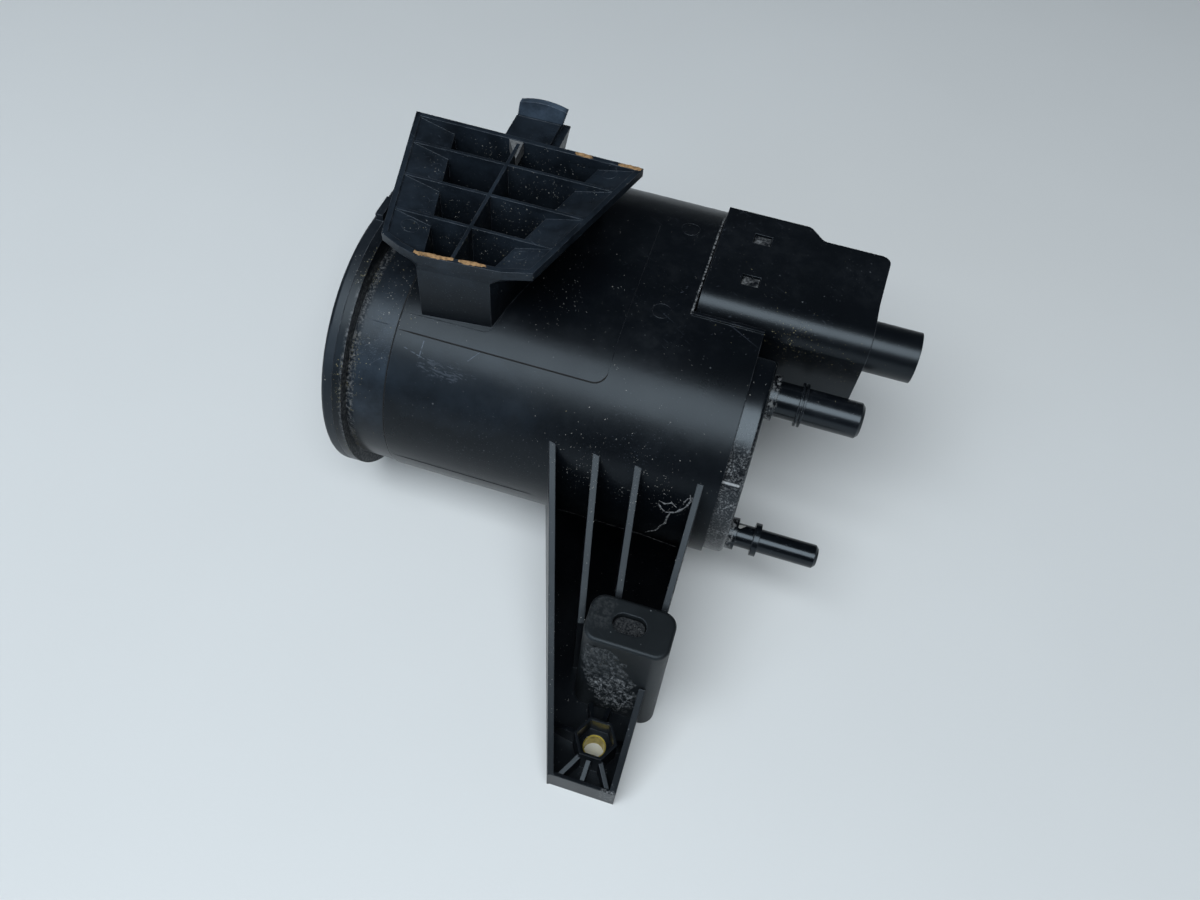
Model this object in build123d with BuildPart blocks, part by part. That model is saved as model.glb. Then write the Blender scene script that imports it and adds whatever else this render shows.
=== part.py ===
from build123d import *
import math
import os

# Charcoal canister of a fuel tank's vent system, lying on its side as it is handled off the vehicle.
# Origin: centre of the arm's bolt bore, on the face that it seats on.
# +X runs along the canister towards the spigots, +Y from the arm's tip to the canister, +Z up.

# Canister shell: a stadium section on an axis along X
axis_y = 125.8
axis_z = 48.1
shell_width = 127.5
shell_height = 83.5
wall = 3.1
end_wall = 3.1
neck_step = 0.44
neck_length = 13.25
body_length = 122.6

# Weld joint at the cap end
flange_width = 133.7
flange_height = 96.2
body_flange = 3.1
cap_flange = 4.0
cap_plate = 3.1
cap_dish = 1.5
cap_rim = 8.75
cap_rib = 2.0
cap_rib_pitch = 26.25
cap_rib_count = 4
cap_edge = 1.38
cap_lug_width = 9.0
cap_lug_height = 2.4
cap_lug_y = -11.0
body_end_x = 15.6

# Divider between the two carbon chambers
divider_y = 15.0
divider_wall = 2.5
divider_setback = 8.12
slip = 0.25
port_rib = 1.9
port_rib_y = (-44.0, -27.0, -10.0, 7.0)
vent_rib_y = (30.0, 45.0)
plenum = 3.75
vent_plenum = 24.38

# Carbon pack, from the cap side to the port side
plate_thick = 2.5
fleece_thick = 2.5
spring_length = 14.38
spring_radius = 12.5
spring_wire = 2.25
spring_turns = 3.5
spring_margin = 6.0
guide_radius = 10.75
spring_guide = 3.75
plate_hole = 5.0
plate_hole_pitch = 11.25
plate_hole_rows = 5
main_hole_columns = 5
vent_hole_columns = 2

# Recess in the shell's top that takes the vent housing
recess_length = 23.12
recess_near_y = -13.25
recess_far_y = 38.62
recess_floor_z = 65.0
ridge_width = 1.25
ridge_height = 0.75
stub_radius = 6.88
stub_bore = 5.0
stub_length = 6.25
stub_y = 26.25
stub_z = 77.5

# Vent housing
housing_gap = 0.6
housing_seat = 0.38
housing_top_z = 91.9
housing_bottom_z = 48.5
housing_wall = 2.25
housing_near_y = -9.9
housing_far_y = 37.38
housing_notch_y = 32.0
housing_notch_x = 21.5
housing_notch_slope = 5.12
housing_end_x = 49.6
housing_near_end_x = 48.4
housing_square = 10.0  # the end wall is square to the port this far past its axis, then slopes out
housing_round = 8.6
housing_corner = 3.2
housing_lean = 4.0
window_length = 6.0
window_width = 4.75
window_x = 7.0
window_pair_y = (4.88, 25.12)
port_step = 0.35
port_wall = 1.65
port_end_x = 63.4
base_thick = 2.25
seal_width = 3.0
filter_gap = 0.38
port_plenum = 3.12
hook_drop = 0.75
post_thick = 1.5

# Manifold plate and its two spigots on the end wall
manifold_thick = 6.6
manifold_inset = 1.5
manifold_edge = 1.4
manifold_blend = 3.0
manifold_tip_y = -23.1
manifold_inner = ((-12.5, 72.0), (-12.5, 56.0), (-43.0, 10.0))
manifold_pocket = 3.75
pocket_margin = 1.5
collar_length = 2.9
bead_width = 1.3
bead_groove = 0.9
spigot_tip = 1.0
main_spigot = {"y": -19.9, "z": 68.5, "radius": 5.9, "bore": 4.2, "bead": 7.2, "collar": 7.5,
               "bead_x": 33.7, "end_x": 52.9, "lobe": 9.0, "grooved": True}
purge_spigot = {"y": -52.6, "z": 34.8, "radius": 3.945, "bore": 2.5, "bead": 5.6, "collar": 5.4,
                "bead_x": 32.0, "end_x": 52.3, "lobe": 6.6, "grooved": False}

# Foot: a ribbed funnel on top of the shell
foot_top_z = 111.25
foot_skirt = 3.0
foot_lip = 1.75
foot_lip_depth = 0.62
flare_drop = 3.25
well_floor_z = 92.5
foot_rib = 1.1
foot_rib_below_rim = 0.38
foot_rib_y = (8.12, -7.5, -23.0)
foot_cross_x = -76.75
foot_rim = [(-113.5, 22.25), (-35.38, 21.5), (-52.75, -35.5), (-61.5, -38.25), (-86.62, -40.38), (-92.75, -38.62),
            (-99.88, -35.12)]
foot_well = [(-99.5, 20.25), (-50.12, 20.25), (-65.75, -34.38), (-66.5, -36.38), (-86.12, -37.88), (-86.5, -36.75),
             (-86.88, -35.12)]
column_wall = 1.88

# Hooked tab behind the foot
tab_x = (-84.12, -68.5)
tab_shelf_z = 107.5
tab_thick = 2.0
tab_reach = 37.75
tab_lip_height = 5.2
tab_lip_thick = 2.25
tab_crown = 1.4
tab_lip_skew = (1.12, 2.0)
tab_web = 4.0
tab_web_edge = 2.5
tab_web_reach = 41.25

# Arm: a ribbed channel from the shell's near side down to the bolt
arm_tip_y = -13.45
arm_tip_x = (-11.12, 10.62)
arm_root_x = (-38.75, 10.62)
arm_root_y = 66.55
arm_wall = 2.0
arm_end_wall = 1.2
arm_floor = 2.5
arm_tip_height = 9.75
arm_slope = 0.713
arm_back_y = 93.8
arm_ribs = [((-23.62, 66.8), (-13.88, 24.92)), ((-10.12, 66.42), (-4.62, 31.8))]
arm_rib = 2.12
boss_radius = 7.0
boss_height = 14.4
boss_wall = 0.9
boss_floor = 6.9
spoke = 1.5
spoke_boss_height = 13.0
spoke_end_height = 8.8
spoke_ends = [(-15.5, 2.6), (-7.73, -12.6), (-0.5, -12.6), (7.9, -12.6), (9.5, 3.2), (1.0, 12.6), (-5.2, 12.6)]
bushing_bore = 3.3
bushing_wall = 1.25
bushing_lip = 0.4

# Rubber buffer block on the arm's post
block_x = (-11.62, 14.5)
block_y = (14.55, 30.18)
block_top_z = 51.25
block_base_z = 0.38
block_corner = 4.5
block_edge = 1.12
block_swell = 1.12
post_length = 9.75
post_width = 5.75
post_x = 1.12
post_y = 22.42
post_short = 2.0
block_fit = 0.25

# Worked out from the sizes above
body_start_x = body_end_x - body_length
cap_seam_x = body_start_x - body_flange
cap_face_x = cap_seam_x - cap_flange
cap_inner_x = cap_face_x + cap_dish + cap_plate
inner_end_x = body_end_x - end_wall
divider_start_x = cap_inner_x + divider_setback
plate_x = cap_inner_x + spring_length
manifold_face_x = body_end_x + manifold_thick
recess_x = body_end_x - recess_length
cavity_width = shell_width - 2 * wall
cavity_height = shell_height - 2 * wall
shell_radius = shell_height / 2
shell_top_z = axis_z + shell_radius
main_edge_y = divider_y - divider_wall / 2
vent_edge_y = divider_y + divider_wall / 2
main_centre_y = (main_edge_y - cavity_width / 2) / 2
vent_centre_y = (vent_edge_y + cavity_width / 2) / 2
main_springs = (spring_margin + spring_radius - cavity_width / 2, main_edge_y - spring_margin - spring_radius)
housing_left_x = recess_x + housing_gap
housing_step_x = manifold_face_x + housing_gap
housing_floor_z = recess_floor_z + housing_seat
port_y = housing_near_y + housing_round
port_z = housing_top_z - housing_round
port_radius = housing_round - port_step


def stadium(width, height, grow=0.0, mode=Mode.ADD):
    """Draw the canister's section, grown by a margin, on the sketch's YZ plane."""
    with Locations((axis_y, axis_z)):
        SlotOverall(width + 2 * grow, height + 2 * grow, mode=mode)


def chamber(main, gap):
    """Draw the section of the main or the vent chamber, a gap inside its walls."""
    stadium(cavity_width, cavity_height, grow=-gap)
    edge = axis_y + divider_y + (-1 if main else 1) * (divider_wall / 2 + gap)
    with Locations((edge, axis_z)):
        Rectangle(shell_width, flange_height, align=(Align.MIN if main else Align.MAX, Align.CENTER),
                  mode=Mode.SUBTRACT)


def recess_notch(grow):
    """Cut the recess and the walls round it, grown by a margin, out of a chamber's section."""
    with Locations((axis_y + recess_near_y - grow, recess_floor_z - grow)):
        Rectangle(recess_far_y - recess_near_y + 2 * grow, shell_height, align=(Align.MIN, Align.MIN),
                  mode=Mode.SUBTRACT)


def box_between(low, high, mode=Mode.ADD):
    """A box from its lowest to its highest corner."""
    with Locations(low):
        Box(high[0] - low[0], high[1] - low[1], high[2] - low[2],
            align=(Align.MIN, Align.MIN, Align.MIN), mode=mode)


def upright_plane(start, end):
    """The upright plane through two floor points, with its X along them and its Y upwards."""
    run = Vector(end[0] - start[0], end[1] - start[1], 0).normalized()
    return Plane(origin=(start[0], start[1], 0), x_dir=(run.X, run.Y, 0), z_dir=(run.Y, -run.X, 0))


def gusset(start, end):
    """Profile of an upright web under the arm's sloping top line, from a floor point into the shell."""
    length = math.dist(start, end)
    reach = length * (arm_back_y - start[1]) / (end[1] - start[1])
    low_top = arm_tip_height + arm_slope * (start[1] - arm_tip_y)
    high_top = arm_tip_height + arm_slope * (arm_root_y - arm_tip_y)
    climb = length * (arm_root_y - start[1]) / (end[1] - start[1])
    with BuildSketch(upright_plane(start, end)) as profile:
        Polygon((0, 0), (0, low_top), (climb, high_top), (reach, high_top), (reach, 0), align=None)
    return profile.sketch


# Hollows of the shell, with the ribs that hold the fleeces off the end wall left standing
def chamber_hollow(main, open_length):
    """The hollow of one chamber, with standing ribs over the last stretch before the end wall."""
    with BuildPart() as hollow:
        with BuildSketch(Plane.YZ.offset(divider_start_x)):
            chamber(main, 0)
        extrude(amount=recess_x - wall - divider_start_x)
        with BuildSketch(Plane.YZ.offset(recess_x - wall)):
            chamber(main, 0)
            recess_notch(wall)
        extrude(amount=inner_end_x - recess_x + wall)
        for place in port_rib_y if main else vent_rib_y:
            box_between((inner_end_x - open_length, axis_y + place - port_rib / 2, 0),
                        (inner_end_x, axis_y + place + port_rib / 2, axis_z * 2), mode=Mode.SUBTRACT)
    return hollow.part


with BuildPart() as cap_space:
    with BuildSketch(Plane.YZ.offset(cap_seam_x)):
        stadium(cavity_width, cavity_height, grow=-neck_step)
    extrude(amount=divider_start_x - cap_seam_x)

main_hollow = chamber_hollow(True, plenum)
vent_hollow = chamber_hollow(False, vent_plenum)


def foot_outline(points, z, grow=0.0):
    """One of the foot's outlines as a sketch at a height."""
    with BuildSketch(Plane.XY.offset(z)) as outline:
        Polygon(*[(x, axis_y + y) for x, y in points], align=None)
        if grow:
            offset(amount=grow, kind=Kind.INTERSECTION)
    return outline.sketch


# Outer form of the foot: column, flare and skirt
skirt_z = foot_top_z - foot_skirt
with BuildPart() as foot_form:
    extrude(foot_outline(foot_well, axis_z, column_wall), amount=skirt_z - flare_drop - axis_z)
    loft([foot_outline(foot_well, skirt_z - flare_drop, column_wall), foot_outline(foot_rim, skirt_z)])
    extrude(foot_outline(foot_rim, skirt_z), amount=foot_skirt)

# Grid of ribs that fills the foot from the well's floor to just below the rim
with BuildPart() as foot_grid:
    with BuildSketch(Plane.XY.offset(well_floor_z)):
        for rib_y in foot_rib_y:
            with Locations((foot_cross_x, axis_y + rib_y)):
                Rectangle(flange_width, foot_rib)
        with Locations((foot_cross_x, axis_y)):
            Rectangle(foot_rib, flange_width)
    extrude(amount=foot_top_z - foot_rib_below_rim - well_floor_z)
    add(foot_form.part, mode=Mode.INTERSECT)

# Canister body: shell, divider, weld flange, foot, tab and arm in one moulding
with BuildPart() as canister_body:
    with BuildSketch(Plane.YZ.offset(cap_seam_x)):
        stadium(flange_width, flange_height)
    extrude(amount=body_flange)
    with BuildSketch(Plane.YZ.offset(body_start_x)):
        stadium(shell_width, shell_height, grow=-neck_step)
    extrude(amount=neck_length)
    with BuildSketch(Plane.YZ.offset(body_start_x + neck_length)):
        stadium(shell_width, shell_height)
    extrude(amount=body_length - neck_length)
    add(foot_form.part)
    # tab: shelf, upturned lip with a crowned top, and the web beside it
    tab_root_y = axis_y + foot_rim[0][1] - foot_lip
    tab_end_y = axis_y + tab_reach
    with BuildSketch(Plane.XY.offset(tab_shelf_z - tab_thick)):
        Polygon((tab_x[0], tab_root_y), (tab_x[1], tab_root_y), (tab_x[1], tab_end_y), (tab_x[0], tab_end_y),
                align=None)
    extrude(amount=tab_thick)
    with BuildSketch(Plane.XZ.offset(-tab_end_y)):
        with BuildLine():
            foot_left = (tab_x[0], tab_shelf_z - tab_thick)
            foot_right = (tab_x[1], tab_shelf_z - tab_thick)
            top_left = (tab_x[0] + tab_lip_skew[0], tab_shelf_z + tab_lip_height)
            top_right = (tab_x[1] + tab_lip_skew[1], tab_shelf_z + tab_lip_height)
            crown = ((top_left[0] + top_right[0]) / 2, tab_shelf_z + tab_lip_height + tab_crown)
            Line(foot_right, foot_left)
            Line(foot_left, top_left)
            ThreePointArc(top_left, crown, top_right)
            Line(top_right, foot_right)
        make_face()
    extrude(amount=-tab_lip_thick)
    with BuildSketch(Plane.YZ.offset(tab_x[1] + tab_web_edge)):
        Polygon((tab_root_y, tab_shelf_z - tab_thick), (axis_y + tab_web_reach, tab_shelf_z - tab_thick),
                (tab_root_y, shell_top_z - wall), align=None)
    extrude(amount=-tab_web)
    # arm: floor, two walls, two ribs and the end wall
    left_tip = (arm_tip_x[0], arm_tip_y)
    left_root = (arm_root_x[0], arm_root_y)
    slant = (left_root[0] - left_tip[0]) / (left_root[1] - left_tip[1])
    with BuildSketch(Plane.XY):
        Polygon(left_tip, (arm_tip_x[1], arm_tip_y), (arm_root_x[1], arm_back_y),
                (left_tip[0] + slant * (arm_back_y - arm_tip_y), arm_back_y), align=None)
    extrude(amount=arm_floor)
    left_wall = gusset((left_tip[0] + arm_wall / 2, arm_tip_y), (left_root[0] + arm_wall / 2, arm_root_y))
    right_wall = gusset((arm_tip_x[1] - arm_wall / 2, arm_tip_y), (arm_root_x[1] - arm_wall / 2, arm_root_y))
    extrude(left_wall, amount=arm_wall / 2, both=True)
    extrude(right_wall, amount=arm_wall / 2, both=True)
    for rib_root, rib_end in arm_ribs:
        extrude(gusset(rib_end, rib_root), amount=arm_rib / 2, both=True)
    box_between((left_tip[0] + arm_wall / 2, arm_tip_y, 0),
                (arm_tip_x[1], arm_tip_y + arm_end_wall, arm_tip_height))
    box_between((left_root[0], arm_back_y - arm_wall, 0), (arm_root_x[1], arm_back_y, axis_z - shell_radius + wall))
    # six-sided bolt boss with sloping spokes, and the buffer's post
    for spoke_end in spoke_ends:
        reach = math.dist((0, 0), spoke_end)
        with BuildSketch(upright_plane((0, 0), spoke_end)):
            Polygon((0, 0), (0, spoke_boss_height), (reach, spoke_end_height), (reach, 0), align=None)
        extrude(amount=spoke / 2, both=True)
    with BuildSketch(Plane.XY):
        RegularPolygon(boss_radius, 6)
    extrude(amount=boss_height)
    with BuildSketch(Plane.XY):
        with Locations((post_x, post_y)):
            SlotOverall(post_length, post_width)
    extrude(amount=block_top_z - post_short)
    # seat of the buffer, cut out of the right wall and the floor below it
    seat_margin = block_swell / 2 + block_fit
    box_between((arm_tip_x[1] - arm_wall, block_y[0] - seat_margin, 0),
                (arm_tip_x[1], block_y[1] + seat_margin, block_top_z), mode=Mode.SUBTRACT)
    # six-sided pocket above the bushing, the bushing's bore and the lip that stops it
    with BuildSketch(Plane.XY.offset(boss_floor)):
        RegularPolygon(boss_radius - boss_wall / math.cos(math.pi / 6), 6)
    extrude(amount=boss_height - boss_floor, mode=Mode.SUBTRACT)
    with BuildSketch(Plane.XY):
        Circle(bushing_bore + bushing_wall)
    extrude(amount=boss_floor - bushing_lip, mode=Mode.SUBTRACT)
    with BuildSketch(Plane.XY):
        Circle(bushing_bore + bushing_lip)
    extrude(amount=boss_floor, mode=Mode.SUBTRACT)
    # hollows
    add(cap_space.part, mode=Mode.SUBTRACT)
    add(main_hollow, mode=Mode.SUBTRACT)
    add(vent_hollow, mode=Mode.SUBTRACT)
    # recess for the vent housing, with a ridge along its near edge and the vent stub on its wall
    ridge_y = axis_y + recess_near_y
    box_between((recess_x, ridge_y - ridge_width, shell_top_z - wall),
                (body_end_x, ridge_y, shell_top_z + ridge_height))
    box_between((recess_x, ridge_y, recess_floor_z), (body_end_x, axis_y + recess_far_y, foot_top_z),
                mode=Mode.SUBTRACT)
    with BuildSketch(Plane.YZ.offset(recess_x)):
        with Locations((axis_y + stub_y, stub_z)):
            Circle(stub_radius)
    extrude(amount=stub_length)
    with BuildSketch(Plane.YZ.offset(recess_x - wall)):
        with Locations((axis_y + stub_y, stub_z)):
            Circle(stub_bore)
    extrude(amount=wall + stub_length, mode=Mode.SUBTRACT)
    # ports in the end wall
    with BuildSketch(Plane.YZ.offset(inner_end_x)):
        for size in (main_spigot, purge_spigot):
            with Locations((axis_y + size["y"], size["z"])):
                Circle(size["bore"])
    extrude(amount=end_wall, mode=Mode.SUBTRACT)
    # foot: shallow flares, deep well and the ribs across it
    lip_z = foot_top_z - foot_lip_depth
    well_z = lip_z - flare_drop
    extrude(foot_outline(foot_rim, lip_z, -foot_lip), amount=foot_lip_depth, mode=Mode.SUBTRACT)
    loft([foot_outline(foot_rim, lip_z, -foot_lip), foot_outline(foot_well, well_z)], mode=Mode.SUBTRACT)
    extrude(foot_outline(foot_well, well_floor_z), amount=well_z - well_floor_z, mode=Mode.SUBTRACT)
    add(foot_grid.part)

# End cap: a dished lid with stiffening ribs, welded to the body's flange
with BuildPart() as end_cap:
    with BuildSketch(Plane.YZ.offset(cap_face_x)):
        stadium(flange_width, flange_height)
    extrude(amount=cap_flange)
    fillet(end_cap.faces().sort_by(Axis.X)[0].edges(), radius=cap_edge)
    with BuildSketch(Plane.YZ.offset(cap_face_x)):
        stadium(flange_width, flange_height, grow=-cap_rim)
        with Locations((axis_y, axis_z)):
            with GridLocations(cap_rib_pitch, 0, cap_rib_count, 1):
                Rectangle(cap_rib, flange_height, mode=Mode.SUBTRACT)
    extrude(amount=cap_dish, mode=Mode.SUBTRACT)
    with BuildSketch(Plane.YZ.offset(cap_seam_x)):
        stadium(cavity_width, cavity_height, grow=-neck_step - slip)
    extrude(amount=cap_inner_x - cap_seam_x)
    for guide_y in (*main_springs, vent_centre_y):
        with BuildSketch(Plane.YZ.offset(cap_inner_x)):
            with Locations((axis_y + guide_y, axis_z)):
                Circle(guide_radius)
                Circle(guide_radius - port_rib, mode=Mode.SUBTRACT)
        extrude(amount=spring_guide)
    box_between((cap_face_x + cap_dish, axis_y + cap_lug_y - cap_lug_width / 2, axis_z + flange_height / 2 - wall),
                (cap_seam_x, axis_y + cap_lug_y + cap_lug_width / 2, axis_z + flange_height / 2 + cap_lug_height))


def spring(y):
    """A compression spring between the cap and a pressure plate, with its axis along X."""
    lead = spring_length - spring_wire
    with BuildPart() as coil:
        with BuildLine() as path:
            Helix(pitch=lead / spring_turns, height=lead, radius=spring_radius,
                  center=(cap_inner_x + spring_wire / 2, axis_y + y, axis_z), direction=(1, 0, 0))
        with BuildSketch(Plane(origin=path.line @ 0, z_dir=path.line % 0)):
            Circle(spring_wire / 2)
        sweep()
    return coil.part


def pressure_plate(main):
    """A perforated plate that closes a chamber's bed and carries its springs."""
    with BuildPart() as plate:
        with BuildSketch(Plane.YZ.offset(plate_x)):
            chamber(main, slip)
            with Locations((axis_y + (main_centre_y if main else vent_centre_y), axis_z)):
                columns = main_hole_columns if main else vent_hole_columns
                with GridLocations(plate_hole_pitch, plate_hole_pitch, columns, plate_hole_rows):
                    Circle(plate_hole / 2, mode=Mode.SUBTRACT)
        extrude(amount=plate_thick)
    return plate.part


def fleece(main, x):
    """A fleece across a chamber, from a place along the canister's axis."""
    with BuildPart() as mat:
        with BuildSketch(Plane.YZ.offset(x)):
            chamber(main, slip)
            if x > recess_x - wall - fleece_thick:
                recess_notch(wall + slip)
        extrude(amount=fleece_thick)
    return mat.part


def carbon_bed(main, end_x):
    """The packed carbon of one chamber, stepped under the recess where it reaches that far."""
    start_x = plate_x + plate_thick + fleece_thick
    step_x = min(end_x, recess_x - wall - slip)
    with BuildPart() as bed:
        with BuildSketch(Plane.YZ.offset(start_x)):
            chamber(main, slip)
        extrude(amount=step_x - start_x)
        if end_x > step_x:
            with BuildSketch(Plane.YZ.offset(step_x)):
                chamber(main, slip)
                recess_notch(wall + slip)
            extrude(amount=end_x - step_x)
    return bed.part


# Carbon pack of each chamber: plate, fleece, carbon and fleece, pushed to the ports by springs
main_port_fleece_x = inner_end_x - plenum - fleece_thick
vent_port_fleece_x = inner_end_x - vent_plenum - fleece_thick
pack = {
    "pressure_plate_main": pressure_plate(True),
    "pressure_plate_vent": pressure_plate(False),
    "fleece_main_cap_side": fleece(True, plate_x + plate_thick),
    "fleece_main_port_side": fleece(True, main_port_fleece_x),
    "fleece_vent_cap_side": fleece(False, plate_x + plate_thick),
    "fleece_vent_port_side": fleece(False, vent_port_fleece_x),
    "carbon_bed_main": carbon_bed(True, main_port_fleece_x),
    "carbon_bed_vent": carbon_bed(False, vent_port_fleece_x),
    "spring_main_near": spring(main_springs[0]),
    "spring_main_middle": spring(main_springs[1]),
    "spring_vent": spring(vent_centre_y),
}


def spigot(size):
    """One turned spigot on the manifold's face: collar, root, bead (with a groove where it has one) and tube."""
    reach = size["end_x"] - manifold_face_x
    bead = size["bead_x"] - manifold_face_x
    radius, bead_radius = size["radius"], size["bead"]
    groove = [(bead - bead_width / 2, bead_radius), (bead - bead_width / 2, bead_radius - bead_groove),
              (bead, bead_radius - bead_groove), (bead, bead_radius)]
    with BuildPart() as tube:
        with BuildSketch(Plane.XY):
            with BuildLine():
                Polyline((0, 0), (0, size["collar"]), (collar_length, size["collar"]), (collar_length, radius),
                         (bead - bead_width, radius), (bead - bead_width, bead_radius),
                         *(groove if size["grooved"] else []),
                         (bead + bead_width / 2, bead_radius), (bead + bead_width / 2, radius),
                         (reach - spigot_tip, radius), (reach, radius - spigot_tip), (reach, 0), (0, 0))
            make_face()
        revolve(axis=Axis.X)
    return tube.part


# Manifold: a plate along the near round of the end wall, with the two spigots
with BuildPart() as port_manifold:
    with BuildSketch(Plane.YZ.offset(body_end_x)):
        stadium(shell_width, shell_height, grow=-manifold_inset)
        inner_points = [(axis_y + y, z) for y, z in manifold_inner]
        Polygon((axis_y + manifold_tip_y, shell_top_z), *inner_points, (inner_points[-1][0], axis_z - shell_height),
                (axis_y + shell_width, axis_z - shell_height), (axis_y + shell_width, shell_top_z), align=None,
                mode=Mode.SUBTRACT)
        for size in (main_spigot, purge_spigot):
            with Locations((axis_y + size["y"], size["z"])):
                Circle(size["lobe"])
        offset(amount=manifold_blend, kind=Kind.ARC)
        offset(amount=-2 * manifold_blend, kind=Kind.ARC)
        offset(amount=manifold_blend, kind=Kind.ARC)
    extrude(amount=manifold_thick)
    fillet(port_manifold.faces().sort_by(Axis.X)[-1].edges(), radius=manifold_edge)
    for size in (main_spigot, purge_spigot):
        add(Pos(manifold_face_x, axis_y + size["y"], size["z"]) * spigot(size))
    # bores, and the wider pockets that meet the end wall's windows
    for size in (main_spigot, purge_spigot):
        for radius, depth in ((size["bore"], size["end_x"] - body_end_x),
                              (size["bore"] + pocket_margin, manifold_pocket)):
            with BuildSketch(Plane.YZ.offset(body_end_x)):
                with Locations((axis_y + size["y"], size["z"])):
                    Circle(radius)
            extrude(amount=depth, mode=Mode.SUBTRACT)


def housing_form(inset):
    """The vent housing's outer form, or its hollow when drawn in by the wall."""
    left = housing_left_x + inset
    right = housing_end_x - inset
    near_right = housing_near_end_x - inset
    far = axis_y + housing_far_y - inset
    far_notch = axis_y + housing_notch_y - inset
    notch_x = housing_notch_x - inset
    near = axis_y + housing_near_y + inset
    square_y = axis_y + port_y + housing_square
    top = housing_top_z - inset
    low = housing_bottom_z + inset
    lean = math.tan(math.radians(housing_lean)) * (top - low)
    radius = housing_round - inset
    with BuildPart() as form:
        with BuildSketch(Plane.XY.offset(low)):
            with BuildLine():
                FilletPolyline((near_right, square_y), (right, far_notch),
                               (notch_x + housing_notch_slope, far_notch), (notch_x, far), (left, far),
                               radius=housing_corner - inset / 2, close=False)
                Polyline((left, far), (left, near - radius), (near_right, near - radius), (near_right, square_y))
            make_face()
        extrude(amount=top - low)
        with BuildSketch(Plane.YZ.offset(left)):
            with BuildLine():
                Line((near + radius, top), (far, top))
                Line((far, top), (far, low))
                Line((far, low), (near + lean, low))
                Line((near + lean, low), (near, top - radius))
                RadiusArc((near, top - radius), (near + radius, top), radius)
            make_face()
        extrude(amount=right - left, mode=Mode.INTERSECT)
    return form.part


# Vent housing: a hollow box over the recess and past the end wall, with the vent port along its near edge
with BuildPart() as vent_housing:
    add(housing_form(0))
    with BuildSketch(Plane.YZ.offset(housing_near_end_x - housing_wall)):
        with Locations((axis_y + port_y, port_z)):
            Circle(port_radius)
    extrude(amount=port_end_x - housing_near_end_x + housing_wall)
    add(housing_form(housing_wall), mode=Mode.SUBTRACT)
    # the part over the shell stands on the recess floor and is open below
    box_between((recess_x, axis_y + recess_near_y - housing_round, housing_bottom_z - wall),
                (housing_step_x, axis_y + housing_far_y + wall, housing_floor_z), mode=Mode.SUBTRACT)
    box_between((housing_step_x, axis_y + housing_near_y + housing_wall, housing_bottom_z + wall),
                (housing_step_x + housing_wall, axis_y + housing_notch_y, housing_floor_z + base_thick))
    # hole for the shell's stub, snap windows in the top and the port's bore
    with BuildSketch(Plane.YZ.offset(housing_left_x)):
        with Locations((axis_y + stub_y, stub_z)):
            Circle(stub_radius + slip)
    extrude(amount=housing_wall, mode=Mode.SUBTRACT)
    with BuildSketch(Plane.XY.offset(housing_top_z - housing_wall)):
        for window_y in window_pair_y:
            with Locations((window_x, axis_y + window_y)):
                Rectangle(window_length, window_width)
    extrude(amount=housing_wall, mode=Mode.SUBTRACT)
    with BuildSketch(Plane.YZ.offset(housing_near_end_x - 2 * housing_wall)):
        with Locations((axis_y + port_y, port_z)):
            Circle(port_radius - port_wall)
    extrude(amount=port_end_x - housing_near_end_x + 2 * housing_wall, mode=Mode.SUBTRACT)

# Base of the vent housing: closes it above the recess floor and holds it with two snap posts
with BuildPart() as vent_housing_base:
    add(housing_form(housing_wall + slip))
    box_between((recess_x, axis_y + recess_near_y, housing_floor_z),
                (housing_step_x - slip, axis_y + recess_far_y, housing_floor_z + base_thick), mode=Mode.INTERSECT)
    for window_y in window_pair_y:
        box_between((window_x + window_length / 2 - slip - post_thick, axis_y + window_y - window_width / 2 + slip,
                     housing_floor_z),
                    (window_x + window_length / 2 - slip, axis_y + window_y + window_width / 2 - slip,
                     housing_top_z - hook_drop))
        box_between((window_x - window_length / 2 + slip, axis_y + window_y - window_width / 2 + slip,
                     housing_top_z - housing_wall),
                    (window_x + window_length / 2 - slip, axis_y + window_y + window_width / 2 - slip,
                     housing_top_z - hook_drop))

# Flat seal round the stub, between the recess wall and the housing
with BuildPart() as vent_seal:
    with BuildSketch(Plane.YZ.offset(recess_x)):
        with Locations((axis_y + stub_y, stub_z)):
            Circle(stub_radius + slip + seal_width)
            Circle(stub_radius + slip, mode=Mode.SUBTRACT)
    extrude(amount=housing_gap)

# Foam filter in the part of the housing past the end wall
with BuildPart() as vent_filter:
    add(housing_form(housing_wall + filter_gap))
    box_between((housing_step_x + housing_wall + filter_gap, axis_y + housing_near_y, housing_bottom_z),
                (housing_near_end_x - housing_wall - port_plenum, axis_y + housing_far_y, housing_top_z),
                mode=Mode.INTERSECT)

# Rubber buffer block, pushed over the arm's post
with BuildPart() as buffer_block:
    middle = ((block_x[0] + block_x[1]) / 2, (block_y[0] + block_y[1]) / 2)
    length = block_x[1] - block_x[0]
    width = block_y[1] - block_y[0]
    with BuildSketch(Plane.XY.offset(block_base_z)):
        with Locations(middle):
            RectangleRounded(length + block_swell, width + block_swell, block_corner)
    with BuildSketch(Plane.XY.offset(block_top_z)):
        with Locations(middle):
            RectangleRounded(length, width, block_corner)
    loft()
    fillet(buffer_block.faces().sort_by(Axis.Z)[-1].edges(), radius=block_edge)
    box_between((middle[0] - length, middle[1] - width, 0),
                (arm_tip_x[1] - arm_wall, middle[1] + width, arm_floor), mode=Mode.SUBTRACT)
    with BuildSketch(Plane.XY):
        with Locations((post_x, post_y)):
            SlotOverall(post_length + 2 * block_fit, post_width + 2 * block_fit)
    extrude(amount=block_top_z, mode=Mode.SUBTRACT)

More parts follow.
